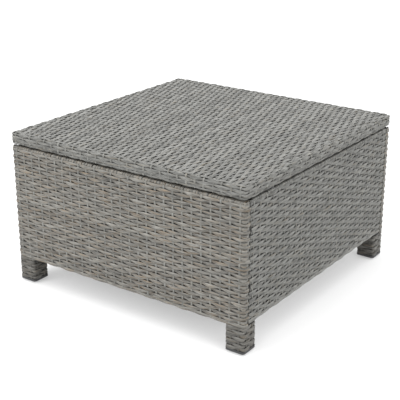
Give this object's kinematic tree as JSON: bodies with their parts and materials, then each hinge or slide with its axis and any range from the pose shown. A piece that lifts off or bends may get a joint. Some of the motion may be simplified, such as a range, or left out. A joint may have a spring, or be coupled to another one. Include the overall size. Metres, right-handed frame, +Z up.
{
  "type": "coffee table",
  "caption": "Low square garden coffee table: four woven-resin panels and a bolted woven top over steel tube frames, on short square legs with levelling feet.",
  "frame": {"origin": "on the floor, under the middle of the table", "axes": "+Z up, +X towards the right side panel, +Y towards the back panel; the front and back panels carry the legs"},
  "size_m": [0.71, 0.71, 0.41],
  "materials": {
    "wicker": "flat resin strands, ribbed and streaked grey with a little tan, satin",
    "frame_steel": "dark grey powder coat, fine orange peel",
    "fastener_zinc": "zinc plated, lightly dulled",
    "cap_plastic": "black moulded plastic, fine grain",
    "foot_plastic": "black moulded plastic, scuffed under the pad",
    "spacer_plastic": "black nylon sleeve"
  },
  "bodies": {
    "table": {"back_bottom_rail": "frame_steel", "back_left_post": "frame_steel", "back_right_post": "frame_steel", "back_stile": "frame_steel", "back_top_rail": "frame_steel", "back_weave": "wicker", "foot_inserts": "fastener_zinc", "front_bottom_rail": "frame_steel", "front_left_post": "frame_steel", "front_right_post": "frame_steel", "front_stile": "frame_steel", "front_top_rail": "frame_steel", "front_weave": "wicker", "left_back_stile": "frame_steel", "left_bottom_rail": "frame_steel", "left_front_stile": "frame_steel", "left_middle_stile": "frame_steel", "left_top_rail": "frame_steel", "left_weave": "wicker", "leg_cap_back_left": "cap_plastic", "leg_cap_back_right": "cap_plastic", "leg_cap_front_left": "cap_plastic", "leg_cap_front_right": "cap_plastic", "leg_core_back_left": "frame_steel", "leg_core_back_right": "frame_steel", "leg_core_front_left": "frame_steel", "leg_core_front_right": "frame_steel", "leg_weave_back_left": "wicker", "leg_weave_back_right": "wicker", "leg_weave_front_left": "wicker", "leg_weave_front_right": "wicker", "right_back_stile": "frame_steel", "right_bottom_rail": "frame_steel", "right_front_stile": "frame_steel", "right_middle_stile": "frame_steel", "right_top_rail": "frame_steel", "right_weave": "wicker", "side_bolts": "fastener_zinc", "side_rivet_nuts": "fastener_zinc", "side_spacers": "spacer_plastic", "side_washers": "fastener_zinc", "top_back_tube": "frame_steel", "top_bolts": "fastener_zinc", "top_cross_bar_1": "frame_steel", "top_cross_bar_2": "frame_steel", "top_cross_bar_3": "frame_steel", "top_front_tube": "frame_steel", "top_left_tube": "frame_steel", "top_right_tube": "frame_steel", "top_rim_weave": "wicker", "top_rivet_nuts": "fastener_zinc", "top_spacers": "spacer_plastic", "top_washers": "fastener_zinc", "top_weave": "wicker"},
    "foot_front_left": {"levelling_foot_front_left": "foot_plastic"},
    "foot_front_right": {"levelling_foot_front_right": "foot_plastic"},
    "foot_back_left": {"levelling_foot_back_left": "foot_plastic"},
    "foot_back_right": {"levelling_foot_back_right": "foot_plastic"}
  },
  "joints": [
    {"name": "foot_front_left_screw", "type": "slide", "parent": "table", "child": "foot_front_left", "axis": [0, 0, -1], "range_m": [0, 0.01]},
    {"name": "foot_front_right_screw", "type": "slide", "parent": "table", "child": "foot_front_right", "axis": [0, 0, -1], "range_m": [0, 0.01]},
    {"name": "foot_back_left_screw", "type": "slide", "parent": "table", "child": "foot_back_left", "axis": [0, 0, -1], "range_m": [0, 0.01]},
    {"name": "foot_back_right_screw", "type": "slide", "parent": "table", "child": "foot_back_right", "axis": [0, 0, -1], "range_m": [0, 0.01]}
  ]
}
